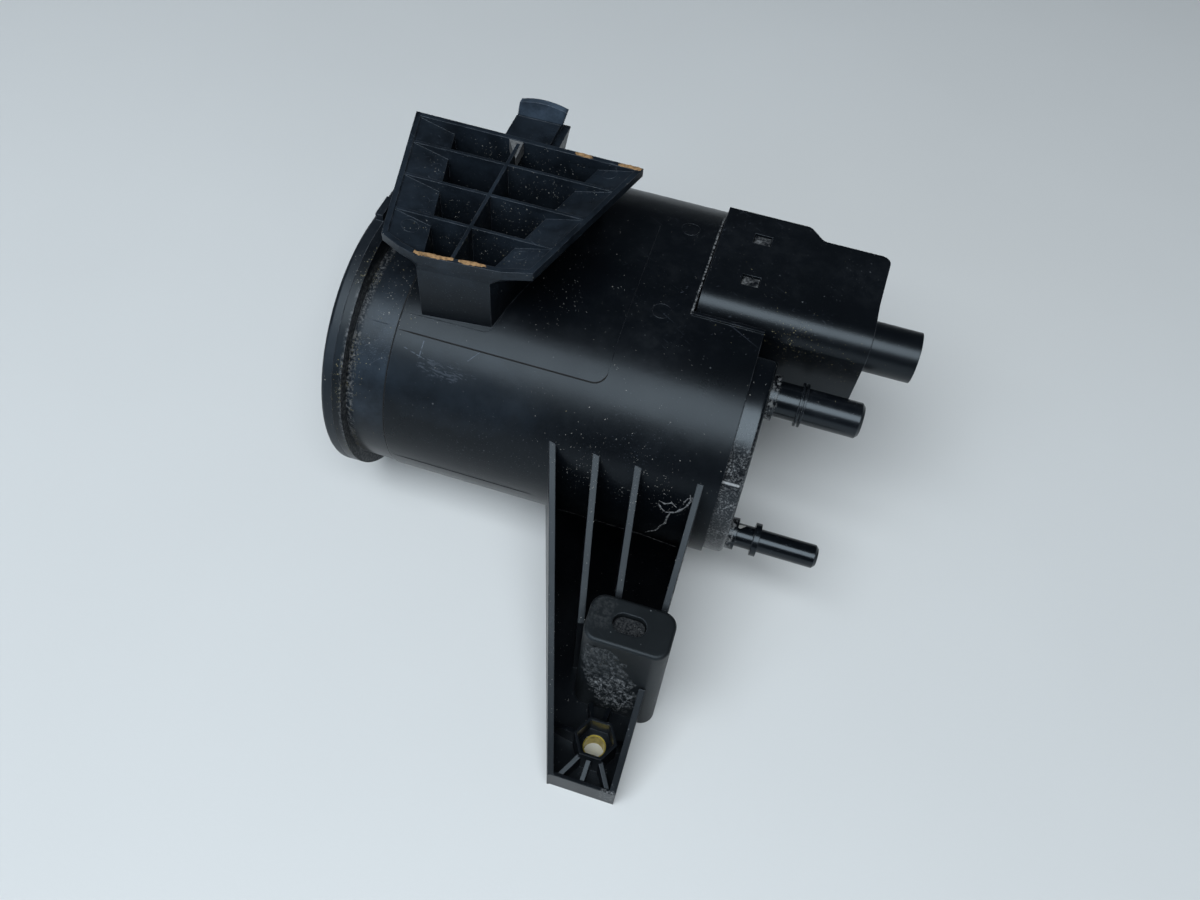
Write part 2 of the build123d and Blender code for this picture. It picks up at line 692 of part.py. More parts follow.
# Steel bushing, pushed into the arm's boss from below as far as the lip
with BuildPart() as arm_bushing:
    with BuildSketch(Plane.XY):
        Circle(bushing_bore + bushing_wall)
        Circle(bushing_bore, mode=Mode.SUBTRACT)
    extrude(amount=boss_floor - bushing_lip)

# Write one file per piece
pieces = {
    "canister_body": canister_body.part,
    "end_cap": end_cap.part,
    "port_manifold": port_manifold.part,
    "vent_housing": vent_housing.part,
    "vent_housing_base": vent_housing_base.part,
    "vent_seal": vent_seal.part,
    "vent_filter": vent_filter.part,
    "buffer_block": buffer_block.part,
    "arm_bushing": arm_bushing.part,
    **pack,
}
os.makedirs("parts", exist_ok=True)
for piece_name, piece in pieces.items():
    piece.label = piece_name
    export_step(piece, f"parts/{piece_name}.step")
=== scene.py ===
import math
import random

import bmesh
import bpy
from bpy.props import FloatProperty, FloatVectorProperty, IntProperty, PointerProperty
from mathutils import Matrix, Vector, noise as hills
from mathutils.bvhtree import BVHTree


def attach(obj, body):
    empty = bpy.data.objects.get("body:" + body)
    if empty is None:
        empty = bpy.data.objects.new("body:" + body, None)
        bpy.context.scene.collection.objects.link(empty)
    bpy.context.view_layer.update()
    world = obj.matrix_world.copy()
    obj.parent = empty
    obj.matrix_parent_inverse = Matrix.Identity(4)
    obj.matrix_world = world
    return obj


bl_info = {
    "name": "Charcoal canister",
    "version": (1, 0, 0),
    "blender": (4, 5, 0),
    "location": "View3D > Sidebar > Canister",
    "description": "Finishes, small details and a pale stage for the charcoal canister",
    "category": "Object",
}

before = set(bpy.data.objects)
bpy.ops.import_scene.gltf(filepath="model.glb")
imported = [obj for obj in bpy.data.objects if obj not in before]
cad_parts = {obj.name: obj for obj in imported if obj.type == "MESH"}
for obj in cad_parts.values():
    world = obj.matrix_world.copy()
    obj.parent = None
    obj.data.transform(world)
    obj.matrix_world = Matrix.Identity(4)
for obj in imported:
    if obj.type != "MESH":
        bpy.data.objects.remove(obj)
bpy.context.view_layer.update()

# Places and sizes below are in millimetres, in the frame of the solids, unless a property says otherwise.
MM = 0.001
AXIS = (125.8, 48.1)
SHELL_RADIUS = 41.75
SHELL_FLAT = 22.0
ABOVE = 130.0
DOWN = Vector((0, 0, -1))
CAMERA_PLACE = (12.125, -98.325, 305.0)
CAMERA_RIGHT = (0.9546, 0.2911, 0.0632)
CAMERA_UP = (-0.2727, 0.7689, 0.5784)
GRAIN_CORNERS = 5


# Properties


class CanisterStageSettings(bpy.types.PropertyGroup):
    """Floor, backdrop, lamps and camera"""

    floor_colour: FloatVectorProperty(
        name="Floor colour", description="Colour of the painted board under the canister",
        default=(0.66, 0.675, 0.68), size=3, min=0, max=1, subtype="COLOR")
    backdrop_radius: FloatProperty(
        name="Backdrop radius", description="Distance from the canister to the rising backdrop",
        default=3.0, unit="LENGTH")
    lamp_power: FloatProperty(
        name="Lamp power", description="Power of the large soft lamp overhead",
        default=32.0, min=0, unit="POWER")
    window_power: FloatProperty(
        name="Window power", description="Power of the bluish window light from the near left",
        default=5.0, min=0, unit="POWER")
    room_strength: FloatProperty(
        name="Room strength", description="Strength of the dim bluish light from all round",
        default=0.06, min=0)
    lens: FloatProperty(
        name="Lens", description="Focal length of the camera",
        default=28.5, unit="CAMERA")


class CanisterFinishSettings(bpy.types.PropertyGroup):
    """Colours of the finishes"""

    moulded_colour: FloatVectorProperty(
        name="Moulded plastic", description="Colour of the shell, cap and housing",
        default=(0.0016, 0.0022, 0.0032), size=3, min=0, max=1, subtype="COLOR")
    dust_colour: FloatVectorProperty(
        name="Dust", description="Colour of the dust that has settled on the plastic",
        default=(0.27, 0.29, 0.31), size=3, min=0, max=1, subtype="COLOR")
    rubber_colour: FloatVectorProperty(
        name="Buffer rubber", description="Colour of the buffer block",
        default=(0.0040, 0.0050, 0.0058), size=3, min=0, max=1, subtype="COLOR")
    plating_colour: FloatVectorProperty(
        name="Yellow plating", description="Colour of the bushing's zinc plating",
        default=(0.66, 0.52, 0.10), size=3, min=0, max=1, subtype="COLOR")
    clay_colour: FloatVectorProperty(
        name="Dried clay", description="Colour of the clay on the foot's rim",
        default=(0.34, 0.20, 0.09), size=3, min=0, max=1, subtype="COLOR")


class CanisterDetailSettings(bpy.types.PropertyGroup):
    """Sizes of the small details"""

    seam_width: FloatProperty(
        name="Seam width", description="Width of the raised lines that the mould's joints leave",
        default=0.34 * MM, unit="LENGTH")
    seam_height: FloatProperty(
        name="Seam height", description="Height of the raised lines that the mould's joints leave",
        default=0.10 * MM, unit="LENGTH")
    grit_size: FloatProperty(
        name="Grit size", description="Usual width of a grain of grit",
        default=0.32 * MM, unit="LENGTH")
    seed: IntProperty(
        name="Seed", description="Seed for the places of grit and wear",
        default=7)


def stage_settings():
    return bpy.context.scene.canister_stage


def finish_settings():
    return bpy.context.scene.canister_finish


def detail_settings():
    return bpy.context.scene.canister_detail


# Node helpers


def start_material(name):
    """A material with its shader, and a function that adds and links nodes to it."""
    material = bpy.data.materials.new(name)
    material.use_nodes = True
    tree = material.node_tree

    def add(kind, *, values=None, **settings):
        node = tree.nodes.new("ShaderNode" + kind)
        for key, value in settings.items():
            setattr(node, key, value)
        for key, value in (values or {}).items():
            socket = node.inputs[key]
            if isinstance(value, bpy.types.NodeSocket):
                tree.links.new(value, socket)
            else:
                socket.default_value = value
        return node

    return material, tree.nodes["Principled BSDF"], add


def math_of(add, operation, first, second=0.0, clamp=False):
    return add("Math", operation=operation, use_clamp=clamp, values={0: first, 1: second}).outputs[0]


def most_of(add, *shares):
    """The largest of several shares."""
    most = shares[0]
    for share in shares[1:]:
        most = math_of(add, "MAXIMUM", most, share)
    return most


def product_of(add, *shares):
    result = shares[0]
    for share in shares[1:]:
        result = math_of(add, "MULTIPLY", result, share)
    return result


def place(add):
    """A point's place on the piece, in metres."""
    return add("TexCoord").outputs["Object"]


def noise(add, where, scale, detail=3.0, rough=0.55, distortion=0.0):
    return add("TexNoise", values={"Vector": where, "Scale": scale, "Detail": detail,
                                   "Roughness": rough, "Distortion": distortion}).outputs["Fac"]


def stretched(add, where, scale, turn=(0, 0, 0)):
    return add("Mapping", values={"Vector": where, "Scale": scale, "Rotation": turn}).outputs[0]


def between(add, value, low, high, to_low=0.0, to_high=1.0):
    return add("MapRange", clamp=True, values={"Value": value, "From Min": low, "From Max": high,
                                               "To Min": to_low, "To Max": to_high}).outputs[0]


def blend_colours(add, share, first, second):
    node = add("Mix", data_type="RGBA", clamp_factor=True)
    tree = node.id_data
    for index, value in ((0, share), (6, first), (7, second)):
        if isinstance(value, bpy.types.NodeSocket):
            tree.links.new(value, node.inputs[index])
        elif index:
            node.inputs[index].default_value = (*value[:3], 1.0)
        else:
            node.inputs[index].default_value = value
    return node.outputs[2]


def specks(add, where, spacing, size, share):
    """Crisp small specks: one in some of the cells of a field, spacing apart, size across, in metres."""
    cells = add("TexVoronoi", values={"Vector": where, "Scale": 1.0 / spacing})
    chosen = add("SeparateColor", values={0: cells.outputs["Color"]}).outputs[0]
    drawn = between(add, cells.outputs["Distance"], 0.5 * size / spacing, 0.3 * size / spacing)
    return product_of(add, drawn, between(add, chosen, 1.0 - share - 0.02, 1.0 - share + 0.02))


def hairlines(add, where, turn, length, width, share):
    """Fine short straight scratches, length long and width wide in metres, along one turned direction."""
    turned = stretched(add, where, (1.0, 1.0, 1.0), turn)
    cells = stretched(add, turned, (1.0 / length, 0.25 / width, 0.25 / width))
    line = noise(add, cells, 1.0, 1.0, 0.4)
    return between(add, line, 1.0 - share, 1.0 - share + 0.02)


def patch(add, where, centre, reach, ragged=0.35, scale=260.0):
    """1 inside a ragged patch round a place in mm, reach mm in X, Y and Z, and 0 outside it."""
    offset = add("VectorMath", operation="SUBTRACT",
                 values={0: where, 1: [c * MM for c in centre]}).outputs[0]
    scaled = add("VectorMath", operation="DIVIDE",
                 values={0: offset, 1: [r * MM for r in reach]}).outputs[0]
    far = add("VectorMath", operation="LENGTH", values={0: scaled}).outputs["Value"]
    cloud = noise(add, where, scale, 4.0, 0.65)
    torn = math_of(add, "ADD", far, between(add, cloud, 0.3, 0.7, -ragged, ragged))
    return between(add, torn, 1.0, 0.75)


def band(add, where, axis, low, high, soft=1.0):
    """1 between two places in mm along X, Y or Z, with soft ends."""
    value = add("SeparateXYZ", values={0: where}).outputs[axis]
    return product_of(add, between(add, value, (low - soft) * MM, (low + soft) * MM),
                      between(add, value, (high + soft) * MM, (high - soft) * MM))


def rounded_edges(add, radius):
    """The normal of the surface with its sharp edges rounded."""
    return add("Bevel", samples=6, values={"Radius": radius}).outputs[0]


def edge_share(add, radius):
    """1 along sharp edges, 0 on open faces."""
    soft = add("Bevel", samples=5, values={"Radius": radius}).outputs[0]
    straight = add("NewGeometry").outputs["Normal"]
    along = add("VectorMath", operation="DOT_PRODUCT", values={0: soft, 1: straight}).outputs["Value"]
    return between(add, along, 0.985, 0.86)


def upward_share(add, low=0.2, high=0.95):
    """1 on faces that look up, where dust settles."""
    normal = add("NewGeometry").outputs["Normal"]
    height = add("SeparateXYZ", values={0: normal}).outputs["Z"]
    return between(add, height, low, high)


# Finishes


def moulded_finish(name, colour, gloss=0.36, shine=0.24, dust=0.5, wear_and_painted_highlight=0.6, grain=1.0,
                   edge_radius=0.35 * MM, pale_marks=None, scratched=None, painted_reflection=None, painted_highlight_and_wear_reach=None):
    """Black moulded plastic: fine grain, settled dust, specks, fine scratches, a painted bluish reflection
    and rubbed edges with a painted highlight.

    pale_marks, scratched and the two functions after them give the shares of pale residue, of scratches,
    of the painted bluish reflection and of the rubbed edges with their painted highlight at a place.
    """
    material, shader, add = start_material(name)
    settings = finish_settings()
    where = place(add)
    cloud = noise(add, where, 30.0, 5.0, 0.62)
    fine_cloud = noise(add, where, 240.0, 4.0, 0.62)
    settled = product_of(add, between(add, cloud, 0.45, 0.70), between(add, fine_cloud, 0.40, 0.62),
                         upward_share(add))
    small = specks(add, where, 1.2 * MM, 0.30 * MM, 0.20)
    large = specks(add, where, 3.1 * MM, 0.62 * MM, 0.14)
    fleck = product_of(add, math_of(add, "MAXIMUM", small, large),
                       between(add, fine_cloud, 0.42, 0.60, 0.2, 1.0))
    dusty = math_of(add, "ADD", product_of(add, settled, 0.02 * dust), product_of(add, fleck, 0.50 * dust),
                    clamp=True)

    field = between(add, noise(add, where, 20.0, 2.0), 0.50, 0.62)
    marks = product_of(add, field, most_of(
        add, hairlines(add, where, (0.0, 0.0, 0.55), 16 * MM, 0.10 * MM, 0.27),
        hairlines(add, where, (0.5, 0.3, -0.8), 12 * MM, 0.09 * MM, 0.26)))
    if scratched:
        marks = math_of(add, "MAXIMUM", marks, scratched(add, where))
    # sharp edges: partly rubbed wear, partly a painted highlight where light catches them
    rubbed_and_painted_highlight = product_of(add, edge_share(add, 0.30 * MM),
                        between(add, noise(add, where, 170.0, 4.0, 0.7), 0.38, 0.60))
    if painted_highlight_and_wear_reach:
        rubbed_and_painted_highlight = product_of(add, rubbed_and_painted_highlight, painted_highlight_and_wear_reach(add, where))

    lighter = [c * 1.6 for c in colour]
    plain = blend_colours(add, between(add, cloud, 0.35, 0.65), colour, lighter)
    # painted reflection: a bluish colour stands in for the pale floor and sky mirrored in faces turned to
    # the viewer
    if painted_reflection:
        plain = blend_colours(add, painted_reflection(add, where), plain, (0.13, 0.185, 0.26))
    # the pale bluish edge colour is partly wear and partly a painted highlight on the rubbed edges
    worn = blend_colours(add, product_of(add, rubbed_and_painted_highlight, 0.46 * wear_and_painted_highlight), plain, (0.15, 0.165, 0.19))
    marked = blend_colours(add, product_of(add, marks, 0.16 * wear_and_painted_highlight), worn, (0.22, 0.26, 0.33))
    coloured = blend_colours(add, dusty, marked, settings.dust_colour)
    rough = between(add, cloud, 0.25, 0.8, gloss - 0.06, gloss + 0.08)
    rough = math_of(add, "ADD", rough, dusty, clamp=True)
    if pale_marks:
        pale = pale_marks(add, where)
        coloured = blend_colours(add, pale, coloured, (0.34, 0.35, 0.36))
        rough = math_of(add, "ADD", rough, product_of(add, pale, 0.5), clamp=True)
    tree = material.node_tree
    tree.links.new(coloured, shader.inputs["Base Color"])
    tree.links.new(rough, shader.inputs["Roughness"])
    shader.inputs["Specular IOR Level"].default_value = shine
    shader.inputs["Specular Tint"].default_value = (0.78, 0.90, 1.0, 1.0)
    height = math_of(add, "ADD", product_of(add, noise(add, where, 2400.0, 2.0, 0.6), 0.014 * MM * grain),
                     product_of(add, noise(add, where, 48.0, 2.0, 0.5), 0.16 * MM))
    height = math_of(add, "ADD", height, product_of(add, fine_cloud, 0.022 * MM * grain))
    height = math_of(add, "ADD", height, product_of(add, marks, -0.015 * MM))
    bump = add("Bump", values={"Strength": 1.0, "Distance": 1.0, "Height": height,
                               "Normal": rounded_edges(add, edge_radius)})
    tree.links.new(bump.outputs[0], shader.inputs["Normal"])
    return material


def simple_finish(name, first, second, scale, rough, bump_height, metal=0.0, cells=False, spread=0.2):
    """Two colours over a grain or a field of cells, for the pieces inside and for grit and clay."""
    material, shader, add = start_material(name)
    where = place(add)
    if cells:
        pattern = add("TexVoronoi", values={"Vector": where, "Scale": scale}).outputs["Distance"]
    else:
        pattern = noise(add, where, scale, 4.0, 0.65)
    tree = material.node_tree
    tree.links.new(blend_colours(add, between(add, pattern, 0.5 - spread, 0.5 + spread), first, second),
                   shader.inputs["Base Color"])
    tree.links.new(between(add, pattern, 0.2, 0.8, rough - 0.08, rough + 0.08), shader.inputs["Roughness"])
    shader.inputs["Metallic"].default_value = metal
    bump = add("Bump", values={"Strength": 1.0, "Distance": 1.0,
                               "Height": product_of(add, pattern, bump_height)})
    tree.links.new(bump.outputs[0], shader.inputs["Normal"])
    return material


def give_finish(node, material):
    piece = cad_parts[node]
    piece.data.materials.clear()
    piece.data.materials.append(material)


def stroke(add, where, start, end, width):
    """1 within half the width of the straight line between two places, all in mm."""
    first, along = Vector(start) * MM, (Vector(end) - Vector(start)) * MM
    offset = add("VectorMath", operation="SUBTRACT", values={0: where, 1: first}).outputs[0]
    share = add("VectorMath", operation="DOT_PRODUCT",
                values={0: offset, 1: along / along.length_squared}).outputs["Value"]
    nearest = add("VectorMath", operation="SCALE",
                  values={0: along, "Scale": between(add, share, 0.0, 1.0)}).outputs[0]
    gap = add("VectorMath", operation="DISTANCE", values={0: offset, 1: nearest}).outputs["Value"]
    return between(add, gap, 0.5 * width * MM, 0.25 * width * MM)


def shell_scratches(add, where):
    """Crossing fine scratches on the neck and below the foot, with two long ones that cross."""
    neck = product_of(add, patch(add, where, (-99.0, 77.0, 80.0), (6.0, 9.0, 10.0)), most_of(
        add, hairlines(add, where, (0.9, 0.0, 0.5), 10 * MM, 0.08 * MM, 0.34),
        hairlines(add, where, (-0.7, 0.2, -0.7), 8 * MM, 0.08 * MM, 0.33)))
    below = product_of(add, patch(add, where, (-76.0, 73.8, 77.0), (9.0, 3.0, 3.0), 0.6, 500.0), most_of(
        add, hairlines(add, where, (0.0, 0.1, 0.05), 9 * MM, 0.10 * MM, 0.42),
        hairlines(add, where, (-0.2, 0.0, 0.3), 8 * MM, 0.10 * MM, 0.40)))
    crossing = most_of(add, stroke(add, where, (-84.3, 79.2, 81.9), (-84.6, 74.9, 78.3), 0.5),
                       stroke(add, where, (-90.0, 76.5, 79.8), (-82.9, 75.1, 78.5), 0.4),
                       stroke(add, where, (-69.2, 77.4, 80.5), (-66.0, 80.4, 82.8), 0.4))
    broken = between(add, noise(add, where, 900.0, 3.0, 0.7), 0.36, 0.50)
    return most_of(add, neck, product_of(add, below, 0.7), product_of(add, crossing, broken, 1.8))


def shell_painted_reflection(add, where):
    """Painted bluish reflection on the neck, on the foot, on the tab's lip and low on the near side, where
    these faces mirror the pale floor and sky.
    """
    cloud = between(add, noise(add, where, 75.0, 5.0, 0.72), 0.34, 0.66, 0.25, 1.1)
    neck = product_of(add, band(add, where, "X", -106.5, -94.3, 0.5),
                      band(add, where, "Z", 50.0, 88.0, 10.0), 0.11)
    foot = product_of(add, band(add, where, "X", -112.0, -22.0),
                      band(add, where, "Z", 101.0, 120.0, 7.0), 0.085)
    lip = product_of(add, band(add, where, "X", -86.0, -67.0), band(add, where, "Y", 161.0, 172.0),
                     band(add, where, "Z", 107.8, 115.0, 0.3), 0.36)
    side = product_of(add, patch(add, where, (-72.0, 72.0, 74.0), (34.0, 14.0, 16.0), 0.2, 60.0), 0.035)
    return product_of(add, cloud, most_of(add, neck, foot, lip, side))


def shell_painted_highlight_and_wear_reach(add, where):
    """Where the rubbed edges show, which are partly wear and partly a painted highlight: over the foot and
    the shell, few of them on the arm.
    """
    across = add("SeparateXYZ", values={0: where}).outputs["Y"]
    return between(add, across, 60.0 * MM, 75.0 * MM, 0.18, 1.0)


def shell_marks(add, where):
    """Dust in the groove and along the recess, and dirt on the post's top and the arm's tip."""
    fine = noise(add, where, 900.0, 4.0, 0.7)
    groove = product_of(add, band(add, where, "X", -107.6, -104.8, 0.6),
                        band(add, where, "Z", 0.0, 91.0, 0.5),
                        between(add, noise(add, where, 1100.0, 4.0, 0.7), 0.47, 0.60), 0.30)
    recess = product_of(add, band(add, where, "X", -8.1, -7.4, 0.15),
                        band(add, where, "Z", 84.0, 90.5, 0.5), band(add, where, "Y", 112.0, 163.0, 0.5),
                        between(add, fine, 0.44, 0.56), 0.55)
    post = product_of(add, patch(add, where, (1.12, 22.4, 49.25), (6.0, 4.0, 1.0), 0.1),
                      between(add, noise(add, where, 1600.0, 3.0, 0.7), 0.35, 0.65), 0.11)
    tip = product_of(add, patch(add, where, (8.5, -13.5, 6.5), (3.4, 2.0, 5.0)),
                     between(add, fine, 0.50, 0.56), 0.40)
    return most_of(add, groove, recess, post, tip)


def manifold_marks(add, where):
    """Pale crusted residue on the plate's rim, between the spigots, and round their collars."""
    fine = noise(add, where, 1500.0, 4.0, 0.7)
    coarse = noise(add, where, 210.0, 4.0, 0.65)
    flecks = between(add, fine, 0.50, 0.60)
    film = product_of(add, band(add, where, "X", 15.0, 23.0, 0.3), band(add, where, "Z", 24.0, 78.0, 5.0),
                      between(add, coarse, 0.38, 0.62, 0.15, 1.0))
    plate = math_of(add, "ADD", product_of(add, film, 0.035), product_of(add, film, flecks, 0.42),
                    clamp=True)
    collars = most_of(add, patch(add, where, (23.8, 105.9, 68.5), (2.2, 10.5, 10.5), 0.2),
                      patch(add, where, (23.0, 73.2, 34.8), (2.0, 8.0, 8.0), 0.2))
    crust = product_of(add, collars, between(add, noise(add, where, 700.0, 5.0, 0.7), 0.50, 0.58), 0.50)
    scar = product_of(add, stroke(add, where, (15.6, 68.7, 67.9), (20.6, 68.8, 67.9), 1.1),
                      between(add, fine, 0.30, 0.44), 0.85)
    return most_of(add, plate, crust, scar)


def block_marks(add, where):
    """Whitish rubber along the right edge and dull dust on the top's left corner."""
    streaks = noise(add, stretched(add, where, (900.0, 900.0, 300.0), (0.5, 0.3, 0.6)), 1.0, 5.0, 0.7, 0.6)
    worn = between(add, streaks, 0.50, 0.58)
    right = patch(add, where, (14.4, 21.0, 22.0), (1.6, 6.0, 22.0), 0.3, 160.0)
    top = product_of(add, patch(add, where, (-8.0, 24.0, 51.2), (4.5, 7.0, 1.5)),
                     between(add, noise(add, where, 800.0, 4.0, 0.7), 0.44, 0.60), 0.05)
    return most_of(add, product_of(add, worn, right, 0.22), top)


def torn_marks(add, where):
    """Whitish high spots of the torn rubber."""
    drawn = stretched(add, where, (1000.0, 1000.0, 620.0), (0.4, 0.3, 0.7))
    strands = noise(add, drawn, 1.0, 5.0, 0.7, 0.8)
    low = patch(add, where, (1.0, 14.2, 19.0), (9.5, 4.0, 13.0), 0.4, 200.0)
    return product_of(add, between(add, strands, 0.48, 0.60), between(add, low, 0.0, 1.0, 0.35, 1.0), 0.40)


def hook_marks(add, where):
    """Pale dirt that fills the snap windows."""
    clods = between(add, noise(add, where, 330.0, 4.0, 0.7), 0.42, 0.60)
    return product_of(add, clods, between(add, noise(add, where, 1400.0, 4.0, 0.7), 0.40, 0.62, 0.1, 0.42))


# Mesh helpers


def mesh_of(work, name):
    mesh = bpy.data.meshes.new(name)
    bmesh.ops.recalc_face_normals(work, faces=work.faces)
    work.to_mesh(mesh)
    work.free()
    return mesh


def finish_piece(name, work, material):
    """Make an object of some faces that rides with the canister."""
    mesh = mesh_of(work, name)
    piece = bpy.data.objects.new(name, mesh)
    bpy.context.scene.collection.objects.link(piece)
    mesh.materials.append(material)
    for polygon in mesh.polygons:
        polygon.use_smooth = True
    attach(piece, "root")
    return piece


def surface_of(*nodes):
    """A tree that finds where a straight line meets some of the solids."""
    points, faces = [], []
    for node in nodes:
        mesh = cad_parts[node].data
        start = len(points)
        points.extend(vertex.co.copy() for vertex in mesh.vertices)
        faces.extend([start + index for index in polygon.vertices] for polygon in mesh.polygons)
    return BVHTree.FromPolygons(points, faces)


def drop_on(surface, x, y):
    """Where a plumb line at a place in mm meets the surface, and the normal there."""
    point, normal, _, _ = surface.ray_cast(Vector((x, y, ABOVE)) * MM, DOWN)
    if point is None:
        raise RuntimeError(f"Nothing lies under {x}, {y}")
    return point, normal


def shell_spot(x, along, sink=0.0):
    """A place on the shell's outside and its normal.

    along is the way round in mm from the flat top's near edge: down the side, or over the top where
    it is negative.
    """
    if along <= 0:
        top = Vector((x, AXIS[0] - SHELL_FLAT - along, AXIS[1] + SHELL_RADIUS - sink))
        return top * MM, Vector((0, 0, 1))
    turn = along / SHELL_RADIUS
    normal = Vector((0, -math.sin(turn), math.cos(turn)))
    return (Vector((x, AXIS[0] - SHELL_FLAT, AXIS[1])) + normal * (SHELL_RADIUS - sink)) * MM, normal


def snapped(surface, corners, step=0.7):
    """Places along a line of corners in mm, each on the nearest surface, with their normals."""
    spots = []
    for first, last in zip(corners, corners[1:]):
        first, last = Vector(first), Vector(last)
        count = max(1, round((last - first).length / step))
        spots += [surface.find_nearest(first.lerp(last, k / count) * MM)[:2] for k in range(count)]
    spots.append(surface.find_nearest(Vector(corners[-1]) * MM)[:2])
    return spots


def add_seam(work, spots, width, height, closed=False, ragged=0.0):
    """Lay a low rounded ridge through places with normals, thinning out at open ends."""
    profile = ((-0.5, -0.6), (-0.32, 0.55), (0.0, 1.0), (0.32, 0.55), (0.5, -0.6))
    count = len(spots)
    rows = []
    for index, (point, normal) in enumerate(spots):
        before = spots[(index - 1) % count if closed else max(index - 1, 0)][0]
        after = spots[(index + 1) % count if closed else min(index + 1, count - 1)][0]
        side = (after - before).cross(normal).normalized()
        scale = 1.0 if closed else min(1.0, 0.25 + 0.75 * min(index, count - 1 - index) / 3)
        scale *= 1.0 + ragged * hills.noise(point * 1300)
        rows.append([work.verts.new(point + side * (across * width * scale)
                                    + normal * (up * height * scale)) for across, up in profile])
    last = count if closed else count - 1
    for index in range(last):
        first, second = rows[index], rows[(index + 1) % count]
        for k in range(len(profile) - 1):
            work.faces.new((first[k], second[k], second[k + 1], first[k + 1]))


def add_grain(work, point, normal, size, rng):
    """One grain of grit: a low five-sided lump with an off-centre top."""
    side = normal.orthogonal().normalized()
    other = normal.cross(side)
    turn = rng.uniform(0, math.tau)
    stretch = rng.uniform(0.6, 1.4)
    foot = []
    for k in range(GRAIN_CORNERS):
        angle = turn + math.tau * k / GRAIN_CORNERS
        reach = size * rng.uniform(0.35, 0.6)
        foot.append(work.verts.new(point + side * (math.cos(angle) * reach * stretch)
                                   + other * (math.sin(angle) * reach / stretch) - normal * size * 0.1))
    top = work.verts.new(point + side * rng.uniform(-0.15, 0.15) * size
                         + normal * size * rng.uniform(0.12, 0.35))
    for k in range(GRAIN_CORNERS):
        work.faces.new((foot[k], foot[(k + 1) % GRAIN_CORNERS], top))


def fill_grid(work, grid, columns, rows, fewest):
    """Faces between the places of a grid, where at least the fewest corners of a cell are there."""
    for i in range(columns):
        for j in range(rows):
            corners = [grid.get(key) for key in ((i, j), (i + 1, j), (i + 1, j + 1), (i, j + 1))]
            corners = [corner for corner in corners if corner]
            if len(corners) >= fewest:
                work.faces.new(corners)


def add_smear(work, surface, centre, along, across, turn, height, seed):
    """A dried smear: a ragged low crust over the surface below, along by across mm, turned about Z."""
    columns, rows = 26, 12
    thinnest, furthest = -0.12, 2.2 * MM
    grid = {}
    for i in range(columns + 1):
        for j in range(rows + 1):
            u, v = 2 * i / columns - 1, 2 * j / rows - 1
            x = centre[0] + math.cos(turn) * u * along / 2 - math.sin(turn) * v * across / 2
            y = centre[1] + math.sin(turn) * u * along / 2 + math.cos(turn) * v * across / 2
            lump = hills.noise(Vector((x * 0.55, y * 0.55, seed)))
            crumb = hills.noise(Vector((x * 2.6, y * 2.6, seed + 5.0)))
            swell = 1.0 - (u * u * 0.9 + v * v) + 0.55 * lump + 0.35 * crumb
            point, normal, _, _ = surface.ray_cast(Vector((x, y, ABOVE)) * MM, DOWN)
            if point is None or swell <= thinnest or abs(point.z - centre[2] * MM) > furthest:
                continue
            grid[i, j] = work.verts.new(point + normal * (min(swell, 0.8) * height + 0.12 * height * crumb))
    fill_grid(work, grid, columns, rows, 3)


# Operators


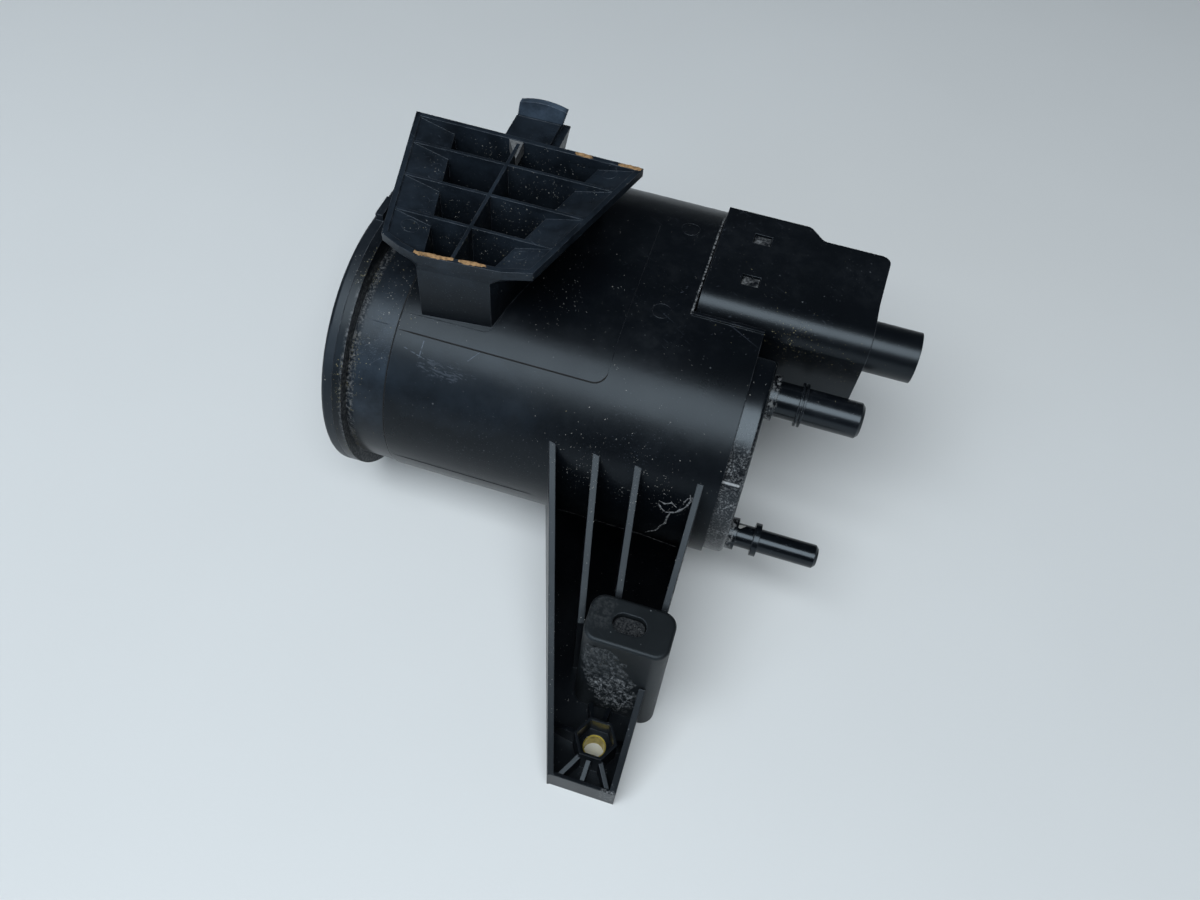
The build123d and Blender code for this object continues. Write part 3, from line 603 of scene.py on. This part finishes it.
class CANISTER_OT_stage(bpy.types.Operator):
    """Adds the floor, the backdrop, the lamps and the camera"""

    bl_idname = "canister.stage"
    bl_label = "Stage"

    def execute(self, context):
        settings = stage_settings()
        scene = context.scene
        scene.view_settings.view_transform = "Standard"
        material, shader, add = start_material("painted_board")
        where = place(add)
        cloud = noise(add, where, 2.2, 4.0, 0.55)
        darker = [c * 0.93 for c in settings.floor_colour]
        tree = material.node_tree
        tree.links.new(blend_colours(add, between(add, cloud, 0.3, 0.7), darker, settings.floor_colour),
                       shader.inputs["Base Color"])
        shader.inputs["Roughness"].default_value = 0.6
        shader.inputs["Specular IOR Level"].default_value = 0.3
        # far off, the board looks pale to the camera without lighting anything
        distance = add("VectorMath", operation="LENGTH", values={0: where}).outputs["Value"]
        seen = add("LightPath").outputs["Is Camera Ray"]
        far = product_of(add, between(add, distance, 0.9, 2.6), seen)
        tree.links.new(blend_colours(add, far, (0.0, 0.0, 0.0), (0.52, 0.56, 0.58)),
                       shader.inputs["Emission Color"])
        shader.inputs["Emission Strength"].default_value = 1.0
        fine = noise(add, where, 900.0, 3.0, 0.6)
        bump = add("Bump", values={"Strength": 1.0, "Distance": 1.0,
                                   "Height": product_of(add, fine, 0.03 * MM)})
        tree.links.new(bump.outputs[0], shader.inputs["Normal"])

        work = bmesh.new()
        radius = settings.backdrop_radius
        rise, top, steps, sides = 0.5, 1.1, 8, 96
        profile = [(radius * 0.4, 0.0), (radius, 0.0)]
        for step in range(1, steps + 1):
            turn = math.radians(90 * step / steps)
            profile.append((radius + rise * math.sin(turn), rise * (1 - math.cos(turn))))
        profile.append((radius + rise, top))
        rings = []
        for out, up in profile:
            rings.append([work.verts.new((out * math.cos(math.tau * k / sides),
                                          out * math.sin(math.tau * k / sides), up)) for k in range(sides)])
        work.faces.new(rings[0])
        for inner, outer in zip(rings, rings[1:]):
            for k in range(sides):
                work.faces.new((inner[k], outer[k], outer[(k + 1) % sides], inner[(k + 1) % sides]))
        mesh = mesh_of(work, "floor_and_backdrop")
        for polygon in mesh.polygons:
            polygon.use_smooth = True
        floor = bpy.data.objects.new("floor_and_backdrop", mesh)
        scene.collection.objects.link(floor)
        mesh.materials.append(material)

        def lamp(name, spot, target, wide, deep, power, colour):
            data = bpy.data.lights.new(name, "AREA")
            data.shape = "RECTANGLE"
            data.size = wide
            data.size_y = deep
            data.energy = power
            data.color = colour
            thing = bpy.data.objects.new(name, data)
            thing.location = spot
            thing.rotation_euler = (Vector(target) - Vector(spot)).to_track_quat("-Z", "Y").to_euler()
            scene.collection.objects.link(thing)

        lamp("overhead_lamp", (-0.10, -0.62, 1.36), (-0.02, 0.06, 0.0), 1.7, 0.95,
             settings.lamp_power, (0.90, 0.96, 1.0))
        lamp("window", (-1.05, -1.25, 0.62), (-0.06, 0.06, 0.05), 0.7, 0.8,
             settings.window_power, (0.62, 0.80, 1.0))

        world = bpy.data.worlds.new("dim_room")
        world.use_nodes = True
        world.node_tree.nodes["Background"].inputs["Color"].default_value = (0.72, 0.84, 1.0, 1.0)
        world.node_tree.nodes["Background"].inputs["Strength"].default_value = settings.room_strength
        scene.world = world

        camera_data = bpy.data.cameras.new("camera")
        camera_data.lens = settings.lens
        camera_data.sensor_width = 36.0
        camera_data.clip_start = 0.01
        camera_data.clip_end = 20.0
        camera = bpy.data.objects.new("camera", camera_data)
        right = Vector(CAMERA_RIGHT)
        up = Vector(CAMERA_UP)
        back = right.cross(up)
        up = back.cross(right)
        turned = Matrix((right.normalized(), up.normalized(), back.normalized())).transposed()
        camera.matrix_world = Matrix.Translation(Vector(CAMERA_PLACE) * MM) @ turned.to_4x4()
        scene.collection.objects.link(camera)
        scene.camera = camera
        return {"FINISHED"}


class CANISTER_OT_finishes(bpy.types.Operator):
    """Gives every solid its material"""

    bl_idname = "canister.finishes"
    bl_label = "Finishes"

    def execute(self, context):
        settings = finish_settings()
        black = settings.moulded_colour
        shell = moulded_finish("moulded_shell", black, gloss=0.31, dust=0.6, wear_and_painted_highlight=0.8,
                               pale_marks=shell_marks, scratched=shell_scratches, painted_reflection=shell_painted_reflection,
                               painted_highlight_and_wear_reach=shell_painted_highlight_and_wear_reach)
        cap = moulded_finish("moulded_cap", [c * 2.2 for c in black], gloss=0.42, shine=0.34, dust=0.8,
                             wear_and_painted_highlight=1.0)
        housing = moulded_finish("moulded_housing", black, gloss=0.33, shine=0.34, dust=0.6, wear_and_painted_highlight=0.8)
        hooks = moulded_finish("dirty_hooks", black, gloss=0.5, pale_marks=hook_marks)
        manifold = moulded_finish("gloss_manifold", black, gloss=0.22, shine=0.4, dust=0.8, wear_and_painted_highlight=0.8,
                                  grain=0.5, pale_marks=manifold_marks)
        rubber = moulded_finish("buffer_rubber", settings.rubber_colour, gloss=0.50, shine=0.34, dust=0.7,
                                wear_and_painted_highlight=0.7, grain=1.6, edge_radius=0.6 * MM, pale_marks=block_marks)
        seal = simple_finish("seal_rubber", (0.01, 0.01, 0.01), (0.016, 0.016, 0.016), 300.0, 0.5,
                             0.05 * MM)
        foam = simple_finish("filter_foam", (0.02, 0.02, 0.022), (0.07, 0.07, 0.075), 900.0, 0.9, 0.4 * MM,
                             cells=True)
        fleece = simple_finish("fleece", (0.62, 0.61, 0.57), (0.80, 0.79, 0.75), 1400.0, 0.91, 0.12 * MM)
        carbon = simple_finish("carbon_pellets", (0.006, 0.006, 0.006), (0.028, 0.028, 0.03), 420.0, 0.7,
                               1.0 * MM, cells=True)
        natural = simple_finish("natural_plastic", (0.56, 0.53, 0.46), (0.64, 0.61, 0.54), 60.0, 0.42,
                                0.05 * MM)
        wire = simple_finish("spring_steel", (0.40, 0.40, 0.41), (0.55, 0.55, 0.56), 500.0, 0.32, 0.01 * MM,
                             metal=1.0)
        plating = simple_finish("yellow_plating", settings.plating_colour,
                                [c * 0.55 for c in settings.plating_colour], 420.0, 0.36, 0.03 * MM,
                                metal=1.0)
        finishes = {
            "canister_body": shell, "end_cap": cap, "vent_housing": housing, "vent_housing_base": hooks,
            "port_manifold": manifold, "buffer_block": rubber, "vent_seal": seal, "vent_filter": foam,
            "fleece_main_cap_side": fleece, "fleece_main_port_side": fleece, "fleece_vent_cap_side": fleece,
            "fleece_vent_port_side": fleece, "carbon_bed_main": carbon, "carbon_bed_vent": carbon,
            "pressure_plate_main": natural, "pressure_plate_vent": natural, "spring_main_near": wire,
            "spring_main_middle": wire, "spring_vent": wire, "arm_bushing": plating}
        for node, material in finishes.items():
            give_finish(node, material)
        return {"FINISHED"}


class CANISTER_OT_mould_lines(bpy.types.Operator):
    """Adds the raised lines that the mould's insert and joints leave on the shell"""

    bl_idname = "canister.mould_lines"
    bl_label = "Mould lines"

    def execute(self, context):
        settings = detail_settings()
        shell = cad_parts["canister_body"].data.materials[0]
        work = bmesh.new()
        # insert under the foot: along the near side, round a corner and up over the top
        width, height = settings.seam_width, settings.seam_height
        side = 24.8
        corner = 4.2
        low = [shell_spot(-93.2 + 1.5 * k, side) for k in range(42)]
        for k in range(9):
            turn = math.radians(90 * k / 8)
            low.append(shell_spot(-30.5 + corner * math.sin(turn), side - corner * (1 - math.cos(turn))))
        add_seam(work, [shell_spot(-26.3 - 0.03 * k, side - corner - 2.0 * k) for k in range(33)],
                 width * 1.2, height * 1.5)
        # the joint's shadow line: the insert's lower edge and the neck's step
        shade = simple_finish("shadow_line", (0.0006, 0.0006, 0.0008), (0.0012, 0.0012, 0.0014), 300.0,
                              0.9, 0.01 * MM)
        dark = bmesh.new()
        add_seam(dark, low, width * 1.7, height * 1.2)
        add_seam(dark, [shell_spot(-94.0, 1.5 * k, 0.30) for k in range(-6, 56)], width * 1.4, height * 2.0)
        finish_piece("joint_shadow_lines", dark, shade)
        # across the neck to the insert, and the mould's joint low on the side
        add_seam(work, [shell_spot(-104.2 + 1.2 * k, side - 0.6, 0.44) for k in range(9)], width, height)
        add_seam(work, [shell_spot(-92.9 + 1.6 * k, 75.0) for k in range(32)], width, height * 1.3)
        # round the root of the foot's column and up the neck's step
        surface = surface_of("canister_body")
        column = ((-92.9, 85.4, 85.5), (-76.8, 85.6, 86.0), (-66.6, 85.8, 85.9), (-64.5, 87.2, 86.6),
                  (-63.4, 90.6, 87.8), (-62.9, 94.5, 88.9), (-62.2, 97.1, 89.4))
        add_seam(work, snapped(surface, column), width, height * 1.6, ragged=0.5)
        add_seam(work, snapped(surface, ((-94.0, 81.1, 82.5), (-94.0, 84.0, 84.4), (-94.0, 88.0, 86.3),
                                         (-94.0, 93.0, 88.3))), width, height * 1.3, ragged=0.6)
        finish_piece("shell_mould_lines", work, shell)
        return {"FINISHED"}


class CANISTER_OT_ejector_rings(bpy.types.Operator):
    """Adds the round marks that the mould's ejector pins leave"""

    bl_idname = "canister.ejector_rings"
    bl_label = "Ejector rings"

    def execute(self, context):
        settings = detail_settings()
        surface = surface_of("canister_body")
        work = bmesh.new()
        steps = 40
        for x, y, radius in ((-17.2, 149.9, 3.1), (-16.8, 109.8, 3.1), (-94.4, 98.6, 2.6),
                             (-45.2, 143.6, 2.4), (-59.4, 98.8, 2.2)):
            turns = [math.tau * k / steps for k in range(steps)]
            spots = [drop_on(surface, x + radius * math.cos(turn), y + radius * math.sin(turn))
                     for turn in turns]
            add_seam(work, spots, settings.seam_width, settings.seam_height * 1.2, closed=True)
        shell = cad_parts["canister_body"].data.materials[0]
        finish_piece("ejector_rings", work, shell)
        return {"FINISHED"}


class CANISTER_OT_corner_web(bpy.types.Operator):
    """Adds the small dusty web in the corner where the foot's long rib meets the far rim"""

    bl_idname = "canister.corner_web"
    bl_label = "Corner web"

    def execute(self, context):
        dusty = simple_finish("dusty_web", (0.14, 0.145, 0.15), (0.035, 0.037, 0.04), 800.0, 0.7,
                              0.05 * MM)
        work = bmesh.new()
        corners = ((-80.6, 146.4), (-75.4, 146.6), (-75.4, 138.4))
        top = [work.verts.new(Vector((x, y, 111.05 - 0.12 * (146.4 - y))) * MM) for x, y in corners]
        low = [work.verts.new(Vector((x, y, 106.5)) * MM) for x, y in corners]
        work.faces.new(top)
        work.faces.new(list(reversed(low)))
        for k in range(3):
            work.faces.new((top[k], low[k], low[(k + 1) % 3], top[(k + 1) % 3]))
        web = finish_piece("corner_web", work, dusty)
        for polygon in web.data.polygons:
            polygon.use_smooth = False
        return {"FINISHED"}


class CANISTER_OT_clay(bpy.types.Operator):
    """Adds the dried clay on the foot's rim"""

    bl_idname = "canister.clay"
    bl_label = "Clay"

    def execute(self, context):
        settings = finish_settings()
        colour = settings.clay_colour
        clay = simple_finish("dried_clay", colour, [c * 0.45 for c in colour], 900.0, 0.88, 0.12 * MM,
                             spread=0.12)
        surface = surface_of("canister_body")
        work = bmesh.new()
        for seed, (centre, along, across, turn) in enumerate((
                ((-82.0, 87.3, 111.2), 12.0, 3.0, 0.11), ((-70.4, 88.3, 111.2), 8.5, 2.6, 0.11),
                ((-55.0, 146.7, 111.2), 6.5, 1.9, 0.0), ((-39.2, 146.6, 111.2), 8.5, 1.9, 0.0))):
            add_smear(work, surface, centre, along, across, turn, 0.34 * MM, 3.7 * seed + 1.3)
        finish_piece("clay_on_rim", work, clay)
        return {"FINISHED"}


class CANISTER_OT_residue(bpy.types.Operator):
    """Adds the dried drip above the arm and the torn skin at the lower spigot's root"""

    bl_idname = "canister.residue"
    bl_label = "Residue"

    def execute(self, context):
        surface = surface_of("canister_body", "port_manifold")
        chalk = simple_finish("dried_drip", (0.17, 0.175, 0.18), (0.03, 0.032, 0.036), 1300.0, 0.8,
                              0.1 * MM, spread=0.10)
        work = bmesh.new()
        drips = (
            (0.75, ((-1.6, 62.8, 55.8), (-0.3, 62.5, 54.0), (1.2, 62.3, 52.7), (2.8, 62.4, 53.1),
                    (4.3, 62.5, 53.8), (5.9, 62.7, 55.7), (7.4, 63.3, 58.0), (8.1, 63.9, 60.4),
                    (7.4, 64.6, 62.4))),
            (0.60, ((2.8, 62.3, 52.9), (2.2, 62.1, 50.0), (2.0, 62.1, 46.8), (0.6, 62.3, 43.9),
                    (-0.4, 62.9, 39.7), (-2.3, 63.6, 37.0), (-4.3, 64.8, 33.3))),
            (0.50, ((-1.1, 63.0, 56.9), (0.6, 62.9, 56.3), (2.6, 63.1, 57.5), (4.5, 62.8, 56.0))),
            (0.45, ((6.0, 63.3, 58.6), (7.0, 63.9, 60.8), (8.6, 64.4, 61.6), (9.0, 63.8, 59.4))),
            (0.40, ((-39.6, 82.3, 2.5), (-7.3, 82.0, 2.5), (6.9, 81.0, 2.5))))
        for width, corners in drips:
            add_seam(work, snapped(surface, corners, 0.35), width * MM, 0.16 * MM, ragged=1.1)
        finish_piece("dried_drip", work, chalk)

        skin = simple_finish("torn_skin", (0.44, 0.44, 0.42), (0.26, 0.26, 0.25), 700.0, 0.6, 0.05 * MM)
        work = bmesh.new()
        root, normal = surface.find_nearest(Vector((25.0, 73.6, 39.0)) * MM)[:2]
        tip = [root + Vector(step) * MM for step in ((-1.6, 0.5, 0.1), (2.4, 0.9, 0.25), (0.6, -1.3, 0.9),
                                                     (0.4, 0.2, 0.75))]
        corners = [work.verts.new(point + normal * 0.05 * MM) for point in tip]
        for first, second in ((0, 1), (1, 2), (2, 0)):
            work.faces.new((corners[first], corners[second], corners[3]))
        finish_piece("torn_skin", work, skin)
        return {"FINISHED"}


class CANISTER_OT_torn_rubber(bpy.types.Operator):
    """Adds the torn, lumpy rubber on the near side of the buffer block"""

    bl_idname = "canister.torn_rubber"
    bl_label = "Torn rubber"

    def execute(self, context):
        surface = surface_of("buffer_block")
        rubber = moulded_finish("torn_rubber", finish_settings().rubber_colour, gloss=0.55, shine=0.34,
                                dust=0.7, grain=2.0, pale_marks=torn_marks)
        work = bmesh.new()
        columns, rows = 84, 150
        grid = {}
        for i in range(columns + 1):
            for j in range(rows + 1):
                x, z = -10.6 + 19.6 * i / columns, 4.6 + 43.0 * j / rows
                point, normal, _, _ = surface.ray_cast(Vector((x, 4.0, z)) * MM, Vector((0, 1, 0)))
                if point is None:
                    continue
                centre = 0.8 - 0.20 * (z - 17.0)
                reach = 1.0 - ((x - centre) / 8.6) ** 2 - ((z - 25.0) / 25.0) ** 2
                reach += 0.5 * hills.noise(Vector((x * 0.3, z * 0.3, 1.7)))
                ridge = 1.0 - abs(hills.noise(Vector((x * 0.75 + z * 0.25, z * 0.55, 4.2)))) * 2.6
                crumb = hills.noise(Vector((x * 2.3, z * 2.1, 9.1)))
                pit = hills.noise(Vector((x * 0.42, z * 0.38, 6.6)))
                lift = min(1.0, max(0.0, reach) * 2.5)
                height = lift * (0.12 + 0.34 * max(0.0, ridge) + 0.13 * crumb - 0.30 * max(0.0, pit))
                grid[i, j] = work.verts.new(point + normal * (height - 0.05 * (1.0 - lift)) * MM)
        fill_grid(work, grid, columns, rows, 4)
        finish_piece("torn_rubber", work, rubber)
        return {"FINISHED"}


class CANISTER_OT_grit(bpy.types.Operator):
    """Scatters pale grit in the foot's wells, on the shell, the manifold, the housing and the arm"""

    bl_idname = "canister.grit"
    bl_label = "Grit"

    def execute(self, context):
        settings = detail_settings()
        rng = random.Random(settings.seed)
        surface = surface_of("canister_body", "vent_housing", "port_manifold", "end_cap")
        pale = simple_finish("pale_grit", (0.26, 0.26, 0.25), (0.10, 0.10, 0.09), 400.0, 0.9, 0.05 * MM)
        olive = simple_finish("olive_grit", (0.20, 0.18, 0.10), (0.07, 0.065, 0.04), 400.0, 0.9, 0.05 * MM)
        # low corner, high corner, main direction of throw, spread of it, grains, size against the usual
        pale_fields = (
            ((-106.0, 89.0, 100.0), (-46.0, 146.0, 110.5), (0.0, 0.2, -0.5), 1.5, 5200, 0.85),
            ((-92.0, 62.0, 112.0), (12.0, 158.0, 114.0), (0.0, 0.0, -1.0), 0.5, 380, 0.65),
            ((-110.0, 60.0, 112.0), (-96.0, 92.0, 113.0), (0.0, 0.2, -1.0), 0.3, 360, 0.8),
            ((25.0, 62.0, 28.0), (27.0, 112.0, 92.0), (-1.0, 0.2, -0.1), 0.5, 360, 0.9),
            ((-38.0, -12.0, 62.0), (12.0, 62.0, 90.0), (0.0, 0.1, -1.0), 0.4, 1500, 0.8),
            ((-38.0, 50.0, 60.0), (10.0, 52.0, 70.0), (0.0, 1.0, -0.3), 0.4, 420, 0.8))
        olive_fields = (
            ((-107.2, 58.0, 112.0), (-105.2, 104.0, 113.0), (0.0, 0.0, -1.0), 0.06, 420, 0.85),
            ((-108.0, 50.0, 30.0), (-104.5, 51.0, 90.0), (0.0, 1.0, 0.0), 0.08, 360, 0.85),
            ((0.0, 100.0, 70.0), (48.0, 108.0, 96.0), (0.0, 1.0, -0.1), 0.3, 340, 0.8),
            ((18.0, 98.0, 80.0), (30.0, 106.0, 96.0), (0.0, 1.0, -0.2), 0.3, 200, 0.9),
            ((-104.0, 90.0, 100.0), (-60.0, 108.0, 110.0), (0.0, -0.4, -0.6), 0.9, 300, 0.9))
        reach, thinned = 0.12, -0.12
        for name, fields, material in (("pale_grit", pale_fields, pale),
                                       ("olive_grit", olive_fields, olive)):
            work = bmesh.new()
            for low, high, throw, spread, count, share in fields:
                for _ in range(count):
                    start = Vector([rng.uniform(a, b) for a, b in zip(low, high)]) * MM
                    aim = Vector(throw) + Vector([rng.gauss(0, spread) for _ in range(3)])
                    size = settings.grit_size * share * min(2.2, rng.lognormvariate(0, 0.4))
                    point, normal, _, _ = surface.ray_cast(start, aim.normalized(), reach)
                    if point is None or normal.dot(aim) > 0 or hills.noise(point * 90) < thinned:
                        continue
                    add_grain(work, point, normal, size, rng)
            finish_piece(name, work, material)
        return {"FINISHED"}


class CANISTER_PT_sidebar(bpy.types.Panel):
    """Lists the canister's steps"""

    bl_label = "Charcoal canister"
    bl_idname = "CANISTER_PT_sidebar"
    bl_space_type = "VIEW_3D"
    bl_region_type = "UI"
    bl_category = "Canister"

    def draw(self, context):
        for operator in STEPS:
            self.layout.operator(operator.bl_idname)


STEPS = (CANISTER_OT_stage, CANISTER_OT_finishes, CANISTER_OT_mould_lines, CANISTER_OT_ejector_rings,
         CANISTER_OT_corner_web, CANISTER_OT_clay, CANISTER_OT_residue, CANISTER_OT_torn_rubber,
         CANISTER_OT_grit)
SETTINGS = {"canister_stage": CanisterStageSettings, "canister_finish": CanisterFinishSettings,
            "canister_detail": CanisterDetailSettings}


def register():
    for kind in (*SETTINGS.values(), *STEPS, CANISTER_PT_sidebar):
        bpy.utils.register_class(kind)
    for name, kind in SETTINGS.items():
        setattr(bpy.types.Scene, name, PointerProperty(type=kind))


def unregister():
    for name in SETTINGS:
        delattr(bpy.types.Scene, name)
    for kind in reversed((*SETTINGS.values(), *STEPS, CANISTER_PT_sidebar)):
        bpy.utils.unregister_class(kind)


def main():
    register()
    for operator in STEPS:
        group, name = operator.bl_idname.split(".")
        getattr(getattr(bpy.ops, group), name)()


if __name__ == "__main__":
    main()
